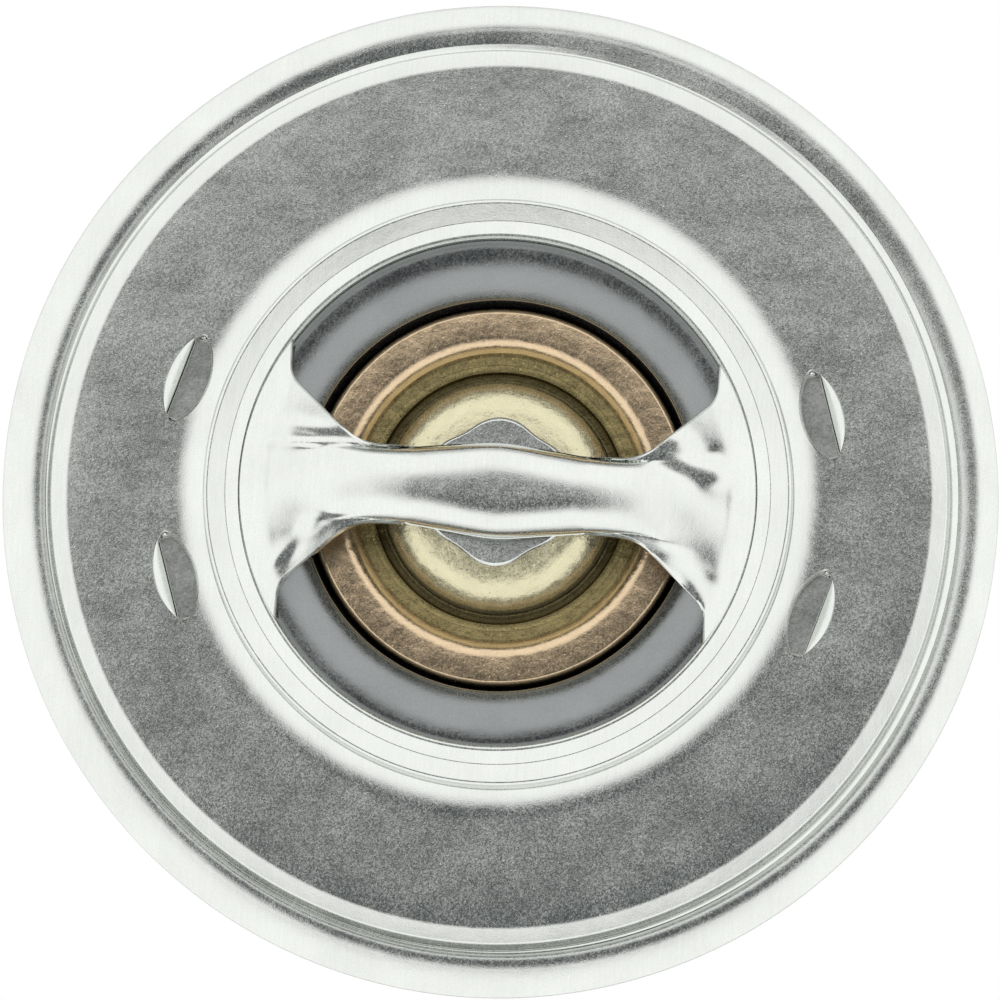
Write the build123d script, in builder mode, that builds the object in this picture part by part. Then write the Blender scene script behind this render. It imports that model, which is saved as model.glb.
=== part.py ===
from build123d import *
import os
from math import cos, degrees, pi, radians, sin, sqrt

# Engine coolant thermostat of the wax-element kind, with a 54 mm flange.
# Millimetres. The origin is on the axis, in the seating face under the flange rim.
# +Z points to the outlet side, and the bridge over the valve runs along X.

os.makedirs("parts", exist_ok=True)

# ---- Driving dimensions ----

# Flange: one stamping with rim, pan, seat ring, bridge and hooks
sheet = 0.8  # thickness of the stamping
rim_radius = 27.0  # sits in the recess of the thermostat housing
rim_edge_height = 0.7  # the rim is coined thinner towards its edge
rim_edge_break = 0.15
rim_crest_inset = 1.65  # from the edge of the rim
rim_valley_inset = 2.28
rim_valley_height = 0.86
rim_crest_height = 1.06
rim_crest_bend = 2.0
rim_width = 2.58  # from the edge to the raised pan, which centres the outlet cover
pilot_draft = 0.18
pan_height = 3.0  # top of the pan above the seating face
pan_shoulder = 1.02
pan_shoulder_drop = 0.14
pan_shoulder_bend = 1.2
seat_radius = 13.74  # free bore of the valve seat
seat_height = 4.4  # sealing edge, under the seat ring
seat_ring_width = 2.16  # from the bore to the crest of the dome
seat_valley_width = 0.96  # from the bore to the shallow valley inside that crest
seat_valley_height = 5.1
dome_crest_height = 5.42
dome_crest_bend = 0.35
dome_wall_run = 0.03  # the wall of the dome is almost upright
dome_flare_height = 0.33  # of the gentle flare at the foot of that wall
dome_flare_run = 0.87
dome_flare_bend = 4.3
bridge_root_inset = 1.04  # from the bore to the upper end of the root bend
bridge_web_inset = 4.74  # from the bore to the level middle of the bridge
bridge_root_height = 5.92
bridge_web_height = 6.4

# Bridge: plan outline of the strap, and the rolled ridge along it
strap_half_width = 2.1
strap_flare_length = 3.9  # the strap opens out towards its roots
strap_root_inset = 2.24  # from the bore, along the bridge
strap_root_y = 5.7
strap_flare_bend = 3.0
strap_root_bend = 0.9
ridge_height = 7.6
ridge_squareness = 0.6
ridge_end_inset = 1.14  # from the bore
ridge_stations = (0, 0.214, 0.429, 0.635, 0.825, 1)  # shares of the half-length of the ridge
ridge_waisting = (0, 0.25, 0.55, 0.5, 0.1, -0.2)  # taken off the half-width over the pin
ridge_fall = (0, 0.04, 0.2, 0.6, 1.15, 1.7)  # of the crown below ridge_height
ridge_foot_fall = (0, 0, 0, 0, 0.2, 0.6)
socket_flare_radius = 4.05
socket_flare_depth = 2.05  # below the crown of the ridge

# Hooks: four lanced pockets in the pan, which carry the feet of the cage
hook_distance = 1.2  # from the foot of the dome to the middle of a pocket
hook_angle = 17.4  # to both sides of the bridge line
hook_length = 4.9
hook_width = 2.2
hook_taper = 10

# Cage: drawn cup, cut away to a dished floor and two legs
cage_sheet = 0.75
cage_height = 23.0  # from the underside of the floor to the top of the feet
cage_leg_spread = 52  # angle that each leg spans round the axis
cage_bend = 1.3
cage_dish_height = 1.7
cage_collar_height = 2.4
foot_tab_width = 4.6
foot_tab_overhang = 0.45  # how far the tab ends outside the hook circle

# Valve disc: pressed sheet with a rounded sealing bead, fuller towards the axis
valve_sheet = 0.7
bead_outer_radius = 1.5
bead_inner_radius = 2.85
bead_seating_reach = 0.44  # from the crown of the bead to the sealing edge
bead_skirt = 0.6
valve_hub_height = 2.2

# Wax element: cup, guide, boot, back-up ring and wax
cup_radius = 7.5
cup_sheet = 0.7
cup_length = 26.6  # from its flat end to the ledge that carries the boot
cup_end_bend = 1.6
crimp_floor_height = -0.4
crimp_thickness = 0.9
crimp_edge_bend = 0.3
crimp_roll_bend = 2.4
crimp_roll_run = 0.65
crimp_roll_drop = 0.5
crimp_lip_width = 2.41  # from the outside of the crimp to its lip
guide_flange_thickness = 1.25
guide_land_width = 1.64  # open face of the guide, from the lip of the crimp to the boss
guide_boss_height = 2.4
guide_boss_blend = 1.3
guide_boss_fall = 0.25  # from the top of the boss to its shoulder
guide_groove_width = 0.6
guide_groove_depth = 0.6
guide_countersink = 0.5
boot_flange_thickness = 0.75
boot_radius = 3.5
boot_end_thickness = 1.4
backup_radius = 3.0
backup_thickness = 1.0

# Piston pin
pin_radius = 1.7
pin_length = 24.5
pin_nose_blend = 0.8

# Return spring
wire_radius = 0.9
spring_inset = 0.3  # of the coil's middle line, from the crown of the bead
spring_active_turns = 4.5
spring_end_pitch = 1.88
points_per_turn = 12

# Clearances of the fits
seat_clearance = 0.02  # bead to sealing edge, valve shut
pin_guide_clearance = 0.04
pin_boot_clearance = 0.06
cup_cage_clearance = 0.08
crimp_valve_clearance = 0.2
foot_clearance = 0.05
packed_clearance = 0.03  # between the pieces sealed inside the cup

# ---- Places that follow from them ----

pilot_radius = rim_radius - rim_width
seat_valley_radius = seat_radius + seat_valley_width
dome_crest_radius = seat_radius + seat_ring_width
dome_wall_radius = dome_crest_radius + dome_wall_run
dome_foot_radius = dome_wall_radius + dome_flare_run
bridge_root_radius = seat_radius - bridge_root_inset
bridge_web_radius = seat_radius - bridge_web_inset
strap_root_x = seat_radius - strap_root_inset
strap_flare_x = strap_root_x - strap_flare_length
ridge_half_length = seat_radius - ridge_end_inset
pan_underside = pan_height - sheet
pan_bore = pilot_radius - pilot_draft - sheet / 2
foot_top = pan_underside - foot_clearance
foot_underside = foot_top - cage_sheet
hook_floor = foot_underside - foot_clearance
hook_circle_radius = dome_foot_radius + hook_distance
cage_radius = hook_circle_radius - hook_width / 2 - sheet - 2 * foot_clearance
cage_inner_radius = cage_radius - cage_sheet
cage_underside = foot_top - cage_height
cage_floor = cage_underside + cage_sheet
collar_bore = cup_radius + cup_cage_clearance
bead_circle_radius = seat_radius - bead_seating_reach
bead_drop = sqrt(bead_outer_radius**2 - bead_seating_reach**2)
bead_outer_centre = seat_height - seat_clearance - bead_drop
bead_inner_centre = bead_outer_centre + bead_outer_radius - bead_inner_radius
ground_half_width = wire_radius * sqrt(3) / 2  # of the flat on a wire ground down to half
spring_radius = bead_circle_radius - spring_inset
spring_reach = spring_inset + ground_half_width
spring_room = sqrt((bead_inner_radius - valve_sheet) ** 2 - spring_reach**2)
spring_top = bead_inner_centre + spring_room - packed_clearance
valve_web_top = crimp_floor_height - cup_sheet
cup_end = crimp_floor_height - cup_length
crimp_radius = bead_circle_radius - bead_inner_radius - crimp_valve_clearance
crimp_bore = crimp_radius - cup_sheet
crimp_lip_radius = crimp_radius - crimp_lip_width
guide_boss_radius = crimp_lip_radius - guide_land_width
guide_underside = crimp_floor_height + boot_flange_thickness
guide_face = guide_underside + guide_flange_thickness
pin_top = ridge_height - sheet
pin_end = pin_top - pin_length


def skin(*places):
    """Line along one face of a sheet: (radius, height, bend radius) at each corner."""
    bends = [bend for radius, height, bend in places]
    return FilletPolyline(
        [(radius, height) for radius, height, bend in places], radius=bends[1:-1]
    )


def closed_skin(*places):
    """The same for a whole turned section, back to its first corner."""
    return FilletPolyline(
        [(radius, height) for radius, height, bend in places],
        radius=[bend for radius, height, bend in places],
        close=True,
    )


# ---- Flange ----

with BuildSketch() as strap_plan:
    with BuildLine():
        FilletPolyline(
            (0, strap_half_width),
            (strap_flare_x, strap_half_width),
            (strap_root_x, strap_root_y),
            (strap_root_x, rim_radius),
            radius=(strap_flare_bend, strap_root_bend),
        )
        Polyline(
            (strap_root_x, rim_radius),
            (rim_radius, rim_radius),
            (rim_radius, 0),
            (0, 0),
            (0, strap_half_width),
        )
    make_face()
    mirror(about=Plane.XZ)
    mirror(about=Plane.YZ)

with BuildSketch() as hook_lens:
    with BuildLine():
        right_side = ThreePointArc(
            (0, -hook_length / 2), (hook_width / 2, 0), (0, hook_length / 2)
        )
        mirror(right_side, about=Plane.YZ)
    make_face()

hook_places = [
    Location((hook_circle_radius * cos(angle), hook_circle_radius * sin(angle)), degrees(angle))
    for end in (0, pi)
    for angle in (end - radians(hook_angle), end + radians(hook_angle))
]


def ridge_section(x, half_width, crown, foot):
    """Cross-section of the ridge at x: upright at its feet, with a broad rounded crown."""
    level = foot + (crown - foot) * 16 / 15
    with BuildSketch(Plane.YZ.offset(x)) as section:
        with BuildLine():
            Bezier(
                (half_width, foot),
                (half_width, level),
                (half_width * ridge_squareness, level),
                (-half_width * ridge_squareness, level),
                (-half_width, level),
                (-half_width, foot),
            )
            Line((-half_width, foot), (half_width, foot))
        make_face()
    return section.sketch


ridge = list(zip(ridge_stations, ridge_waisting, ridge_fall, ridge_foot_fall))
ridge = [(-share, waist, fall, foot) for share, waist, fall, foot in ridge[:0:-1]] + ridge
socket_wall_radius = pin_radius + sheet

with BuildPart() as flange:
    # The stamping as one turned sheet: coined rim, pan, seat ring and domed web
    with BuildSketch(Plane.XZ):
        with BuildLine():
            Polyline(
                (pan_bore, 0),
                (rim_radius, 0),
                (rim_radius, rim_edge_height - rim_edge_break),
                (rim_radius - rim_edge_break, rim_edge_height),
            )
            skin(
                (rim_radius - rim_edge_break, rim_edge_height, 0),
                (rim_radius - rim_crest_inset, rim_crest_height, rim_crest_bend),
                (rim_radius - rim_valley_inset, rim_valley_height, sheet / 2),
                (pilot_radius, rim_crest_height, sheet / 4),
                (pilot_radius - pilot_draft, pan_height - pan_shoulder_drop, sheet / 8),
                (pilot_radius - pan_shoulder, pan_height, pan_shoulder_bend),
                (dome_foot_radius, pan_height, dome_flare_bend),
                (dome_wall_radius, pan_height + dome_flare_height, sheet / 5),
                (dome_crest_radius, dome_crest_height, dome_crest_bend),
                (seat_valley_radius, seat_valley_height, dome_crest_bend),
                (bridge_root_radius, bridge_root_height, 3 * sheet),
                (bridge_web_radius, bridge_web_height, 5 * sheet),
                (0, bridge_web_height, 0),
            )
            Line((0, bridge_web_height), (0, bridge_web_height - sheet))
            skin(
                (0, bridge_web_height - sheet, 0),
                (bridge_web_radius, bridge_web_height - sheet, 6 * sheet),
                (bridge_root_radius, bridge_root_height - sheet, 2 * sheet),
                (seat_radius, seat_height, 0),
                (dome_crest_radius - 3 * sheet / 4, seat_height, sheet / 2),
                (dome_wall_radius - sheet / 4, pan_underside, sheet),
                (pan_bore - 5 * sheet / 8, pan_underside, sheet),
                (pan_bore, 0, 0),
            )
        make_face()
    revolve(axis=Axis.Z)

    # Two flow windows leave the strap of the bridge standing between them
    with BuildSketch():
        Circle(seat_radius)
        add(strap_plan.sketch, mode=Mode.SUBTRACT)
    extrude(amount=rim_radius, mode=Mode.SUBTRACT)

    # Ridge: the middle of the strap is rolled up into a stiff arch
    outer_sections = [
        ridge_section(
            share * ridge_half_length,
            socket_wall_radius - waist,
            ridge_height - fall,
            bridge_web_height - sheet / 2 - foot_fall,
        )
        for share, waist, fall, foot_fall in ridge
    ]
    loft(outer_sections)

    # Hollow under the ridge, one sheet thickness in
    inner_sections = [
        ridge_section(
            share * ridge_half_length,
            pin_radius - waist,
            ridge_height - sheet - fall,
            seat_height - sheet,
        )
        for share, waist, fall, foot_fall in ridge
    ]
    loft(inner_sections, mode=Mode.SUBTRACT)
    with Locations((0, 0, seat_height)):
        Cylinder(
            pin_radius,
            pin_top - seat_height,
            align=(Align.CENTER, Align.CENTER, Align.MIN),
            mode=Mode.SUBTRACT,
        )

    # Socket of the pin with its flared skirt, in the middle of the bridge
    with BuildSketch(Plane.XZ):
        with BuildLine():
            skirt_top = ridge_height - socket_flare_depth
            skirt_wall_radius = socket_wall_radius - sheet / 4
            closed_skin(
                (pin_radius, ridge_height - sheet / 2, 0),
                (skirt_wall_radius, ridge_height - sheet / 2, 0),
                (skirt_wall_radius, skirt_top, sheet / 2),
                (socket_flare_radius, skirt_top, 0),
                (socket_flare_radius, skirt_top - sheet / 2, 0),
                (pin_radius, skirt_top - sheet / 2, 0),
            )
        make_face()
    revolve(axis=Axis.Z)

    # Hook pockets: lens-shaped, pressed down out of the pan
    with BuildSketch(Plane.XY.offset(pan_underside)):
        with Locations(*hook_places):
            add(hook_lens.sketch)
        offset(amount=sheet, kind=Kind.INTERSECTION)
    extrude(amount=-(pan_underside - hook_floor + sheet), taper=hook_taper)
    with BuildSketch(Plane.XY.offset(pan_height)):
        with Locations(*hook_places):
            add(hook_lens.sketch)
    extrude(amount=-(pan_height - hook_floor), taper=hook_taper, mode=Mode.SUBTRACT)
    with BuildSketch(Plane.XY.offset(pan_height)):
        with Locations(*hook_places):
            add(hook_lens.sketch)
    extrude(amount=sheet, mode=Mode.SUBTRACT)

    # Each pocket is sheared open towards the axis to let the foot of the cage in
    with BuildSketch(Plane.XY.offset(hook_floor)):
        with Locations(*hook_places):
            with Locations((foot_tab_overhang + foot_clearance, 0)):
                Rectangle(
                    hook_width + 2 * sheet,
                    foot_tab_width + 2 * foot_clearance,
                    align=(Align.MAX, Align.CENTER),
                )
    extrude(amount=pan_underside - hook_floor, mode=Mode.SUBTRACT)

flange.part.label = "flange"
export_step(flange.part, "parts/flange.step")

# ---- Lower cage ----

with BuildPart() as lower_cage:
    with BuildSketch(Plane.XZ):
        with BuildLine():
            closed_skin(
                (collar_bore, cage_underside, cage_sheet / 2),
                (cage_radius, cage_underside, cage_bend + cage_sheet),
                (cage_radius, foot_top, 0),
                (cage_inner_radius, foot_top, cage_sheet / 2),
                (cage_inner_radius, cage_floor, cage_bend),
                (collar_bore + cage_sheet, cage_floor, cage_sheet / 2),
                (collar_bore + cage_sheet, cage_floor + cage_collar_height, 0),
                (collar_bore, cage_floor + cage_collar_height, 0),
            )
        make_face()
    revolve(axis=Axis.Z)

    # The wall is cut away all round, apart from the two legs on the bridge line
    with BuildSketch(Plane.XY.offset(cage_floor + cage_dish_height)):
        Circle(cage_radius + cage_sheet)
        Circle(cage_inner_radius - cage_sheet, mode=Mode.SUBTRACT)
        with BuildLine():
            reach = 2 * cage_radius
            leg_edge = radians(cage_leg_spread / 2)
            Polyline(
                (0, 0),
                (reach * cos(leg_edge), reach * sin(leg_edge)),
                (reach * cos(leg_edge), -reach * sin(leg_edge)),
                close=True,
            )
        leg_wedge = make_face(mode=Mode.SUBTRACT)
        mirror(leg_wedge, about=Plane.YZ, mode=Mode.SUBTRACT)
    extrude(amount=cage_height, mode=Mode.SUBTRACT)

    # Feet: two tabs on each leg reach outwards into the hook pockets
    with BuildSketch(Plane.XY.offset(foot_underside)):
        with Locations(*hook_places):
            with Locations((foot_tab_overhang, 0)):
                Rectangle(
                    hook_circle_radius + foot_tab_overhang - cage_inner_radius - cage_sheet / 2,
                    foot_tab_width,
                    align=(Align.MAX, Align.CENTER),
                )
    extrude(amount=cage_sheet)

lower_cage.part.label = "lower_cage"
export_step(lower_cage.part, "parts/lower_cage.step")

# ---- Valve disc ----

with BuildPart() as valve_disc:
    with BuildSketch(Plane.XZ):
        with BuildLine():
            bead_out = bead_circle_radius + bead_outer_radius
            bead_in = bead_circle_radius - bead_inner_radius
            outer_centre = (bead_circle_radius, bead_outer_centre)
            inner_centre = (bead_circle_radius, bead_inner_centre)
            CenterArc(outer_centre, bead_outer_radius, 0, 90)
            CenterArc(inner_centre, bead_inner_radius, 90, 90)
            skin(
                (bead_in, bead_inner_centre, 0),
                (bead_in, valve_web_top, valve_sheet / 2),
                (cup_radius, valve_web_top, 0),
                (cup_radius, valve_web_top - valve_sheet - valve_hub_height, 0),
                (cup_radius + valve_sheet, valve_web_top - valve_sheet - valve_hub_height, 0),
                (cup_radius + valve_sheet, valve_web_top - valve_sheet, valve_sheet / 2),
                (bead_in + valve_sheet, valve_web_top - valve_sheet, valve_sheet),
                (bead_in + valve_sheet, bead_inner_centre, 0),
            )
            CenterArc(inner_centre, bead_inner_radius - valve_sheet, 90, 90)
            CenterArc(outer_centre, bead_outer_radius - valve_sheet, 0, 90)
            Polyline(
                (bead_out - valve_sheet, bead_outer_centre),
                (bead_out - valve_sheet, bead_outer_centre - bead_skirt),
                (bead_out, bead_outer_centre - bead_skirt),
                (bead_out, bead_outer_centre),
            )
        make_face()
    revolve(axis=Axis.Z)

valve_disc.part.label = "valve_disc"
export_step(valve_disc.part, "parts/valve_disc.step")

# ---- Element cup ----

with BuildPart() as element_cup:
    with BuildSketch(Plane.XZ):
        with BuildLine():
            crimp_top = guide_face + crimp_thickness
            cup_bore = cup_radius - cup_sheet
            skin(
                (0, cup_end, 0),
                (cup_radius, cup_end, cup_end_bend),
                (cup_radius, valve_web_top, 0),
                (crimp_radius, valve_web_top, cup_sheet),
                (crimp_radius, crimp_top, crimp_edge_bend),
                (crimp_lip_radius + crimp_roll_run, crimp_top, crimp_roll_bend),
                (crimp_lip_radius, crimp_top - crimp_roll_drop, 0),
                (crimp_lip_radius, guide_face, 0),
                (crimp_bore, guide_face, 0),
                (crimp_bore, crimp_floor_height, 0),
                (cup_bore, crimp_floor_height, cup_sheet / 2),
                (cup_bore, cup_end + cup_sheet, cup_end_bend - cup_sheet),
                (0, cup_end + cup_sheet, 0),
            )
            Line((0, cup_end + cup_sheet), (0, cup_end))
        make_face()
    revolve(axis=Axis.Z)

element_cup.part.label = "element_cup"
export_step(element_cup.part, "parts/element_cup.step")

# ---- Guide ----

with BuildPart() as guide:
    with BuildSketch(Plane.XZ):
        with BuildLine():
            guide_bore = pin_radius + pin_guide_clearance
            guide_top = guide_face + guide_boss_height
            groove_radius = guide_boss_radius + guide_groove_width
            closed_skin(
                (guide_bore, guide_underside + backup_thickness, 0),
                (backup_radius, guide_underside + backup_thickness, 0),
                (backup_radius, guide_underside, 0),
                (crimp_bore - packed_clearance, guide_underside, 0),
                (crimp_bore - packed_clearance, guide_face, 0),
                (groove_radius, guide_face, 0),
                (groove_radius, guide_face - guide_groove_depth, 0),
                (guide_boss_radius, guide_face - guide_groove_depth, 0),
                (guide_boss_radius, guide_top - guide_boss_fall, guide_boss_blend),
                (guide_boss_radius / 2, guide_top, guide_boss_blend),
                (guide_bore + guide_countersink, guide_top, 0),
                (guide_bore, guide_top - guide_countersink, 0),
            )
        make_face()
    revolve(axis=Axis.Z)

guide.part.label = "guide"
export_step(guide.part, "parts/guide.step")

# ---- Boot, back-up ring and wax ----

with BuildPart() as boot:
    with BuildSketch(Plane.XZ):
        with BuildLine():
            boot_bore = pin_radius + pin_boot_clearance
            boot_end = pin_end - boot_end_thickness
            skin(
                (0, boot_end, 0),
                (boot_radius, boot_end, boot_end_thickness),
                (boot_radius, crimp_floor_height, boot_flange_thickness),
                (crimp_bore - packed_clearance, crimp_floor_height, 0),
                (crimp_bore - packed_clearance, guide_underside, 0),
                (boot_bore, guide_underside, 0),
                (boot_bore, pin_end - packed_clearance, pin_nose_blend),
                (0, pin_end - packed_clearance, 0),
            )
            Line((0, pin_end - packed_clearance), (0, boot_end))
        make_face()
    revolve(axis=Axis.Z)

boot.part.label = "boot"
export_step(boot.part, "parts/boot.step")

with BuildPart() as backup_ring:
    with BuildSketch(Plane.XY.offset(guide_underside)):
        Circle(backup_radius - packed_clearance)
        Circle(pin_radius + pin_boot_clearance, mode=Mode.SUBTRACT)
    extrude(amount=backup_thickness - packed_clearance)

backup_ring.part.label = "backup_ring"
export_step(backup_ring.part, "parts/backup_ring.step")

with BuildPart() as wax:
    with BuildSketch(Plane.XZ):
        with BuildLine():
            wax_radius = cup_bore - packed_clearance
            wax_floor = cup_end + cup_sheet + packed_clearance
            wax_top = crimp_floor_height - 2 * boot_flange_thickness
            skin(
                (0, wax_floor, 0),
                (wax_radius, wax_floor, cup_end_bend - cup_sheet),
                (wax_radius, wax_top, 0),
                (boot_radius + packed_clearance, wax_top, 0),
                (boot_radius + packed_clearance, boot_end - packed_clearance, boot_end_thickness),
                (0, boot_end - packed_clearance, 0),
            )
            Line((0, boot_end - packed_clearance), (0, wax_floor))
        make_face()
    revolve(axis=Axis.Z)

wax.part.label = "wax"
export_step(wax.part, "parts/wax.step")

# ---- Piston pin ----

with BuildPart() as piston_pin:
    with BuildSketch(Plane.XY.offset(pin_end)):
        Circle(pin_radius)
    extrude(amount=pin_length)
    fillet(piston_pin.edges().sort_by(Axis.Z)[0], pin_nose_blend)
    chamfer(piston_pin.edges().sort_by(Axis.Z)[-1], pin_nose_blend / 4)

piston_pin.part.label = "piston_pin"
export_step(piston_pin.part, "parts/piston_pin.step")

# ---- Return spring ----

spring_turns = spring_active_turns + 2
spring_rise = spring_top - cage_floor - wire_radius
active_pitch = (spring_rise - 2 * spring_end_pitch) / spring_active_turns


def wire_height(turn):
    """Height of the wire's centre after so many turns, with closed end turns."""
    past_first = min(max(turn - 1, 0), spring_active_turns)
    past_last = max(turn - 1 - spring_active_turns, 0)
    closed = min(turn, 1) + past_last
    return cage_floor + wire_radius / 2 + closed * spring_end_pitch + past_first * active_pitch


wire_path = [
    (
        spring_radius * cos(2 * pi * step / points_per_turn),
        spring_radius * sin(2 * pi * step / points_per_turn),
        wire_height(step / points_per_turn),
    )
    for step in range(round(spring_turns * points_per_turn) + 1)
]

with BuildPart() as return_spring:
    with BuildLine() as wire_line:
        Spline(wire_path)
    with BuildSketch(Plane(origin=wire_line.line @ 0, z_dir=wire_line.line % 0)):
        Circle(wire_radius)
    sweep()
    # Both ends are ground flat, on the floor of the cage and under the bead
    split(bisect_by=Plane.XY.offset(cage_floor), keep=Keep.TOP)
    split(bisect_by=Plane.XY.offset(spring_top), keep=Keep.BOTTOM)

return_spring.part.label = "return_spring"
export_step(return_spring.part, "parts/return_spring.step")
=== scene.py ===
from math import asin, atan2, ceil, cos, exp, hypot, pi, radians, sin, sqrt, tan

import bmesh
import bpy
from mathutils import Matrix, Vector


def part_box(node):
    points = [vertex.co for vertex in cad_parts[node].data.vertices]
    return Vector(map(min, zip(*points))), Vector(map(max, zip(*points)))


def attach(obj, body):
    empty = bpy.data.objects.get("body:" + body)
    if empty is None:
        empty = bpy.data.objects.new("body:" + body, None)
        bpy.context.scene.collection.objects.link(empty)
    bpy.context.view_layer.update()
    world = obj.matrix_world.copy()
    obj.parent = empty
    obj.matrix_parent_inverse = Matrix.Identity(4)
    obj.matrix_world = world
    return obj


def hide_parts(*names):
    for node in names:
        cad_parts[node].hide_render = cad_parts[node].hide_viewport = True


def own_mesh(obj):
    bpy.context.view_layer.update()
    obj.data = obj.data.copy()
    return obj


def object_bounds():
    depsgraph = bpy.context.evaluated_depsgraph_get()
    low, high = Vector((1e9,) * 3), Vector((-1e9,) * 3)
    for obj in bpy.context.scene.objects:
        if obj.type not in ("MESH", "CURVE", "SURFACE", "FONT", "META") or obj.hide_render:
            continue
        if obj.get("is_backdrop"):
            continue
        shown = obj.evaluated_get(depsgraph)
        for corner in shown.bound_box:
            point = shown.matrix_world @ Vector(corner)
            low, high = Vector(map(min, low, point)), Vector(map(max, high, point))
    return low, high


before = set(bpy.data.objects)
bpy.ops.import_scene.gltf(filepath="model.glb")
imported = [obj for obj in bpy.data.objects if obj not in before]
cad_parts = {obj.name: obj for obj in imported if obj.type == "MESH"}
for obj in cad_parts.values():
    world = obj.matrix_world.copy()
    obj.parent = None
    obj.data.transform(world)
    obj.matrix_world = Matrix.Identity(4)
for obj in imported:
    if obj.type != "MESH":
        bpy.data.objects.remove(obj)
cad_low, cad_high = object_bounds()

# ---- Flange ----
# One stamping in tumbled, zinc-plated sheet. Its rim is coined to a low crest; a drafted step
# leads up to the pan, and the pan rises again in a dome to the ring that holds the valve seat.

MM = 0.001
sheet = 0.8  # sizes are in mm, and MM turns them into metres
seat_radius, seat_height = 13.74, 4.4
lip_height = 5.34
rim_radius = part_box("flange")[1].x / MM
rim_edge = (26.82, 0.62, 0)  # here the coined rim breaks over to its edge
valley = (24.72, 0.86)  # and here its skin ends, at the foot of the drafted step


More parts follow.
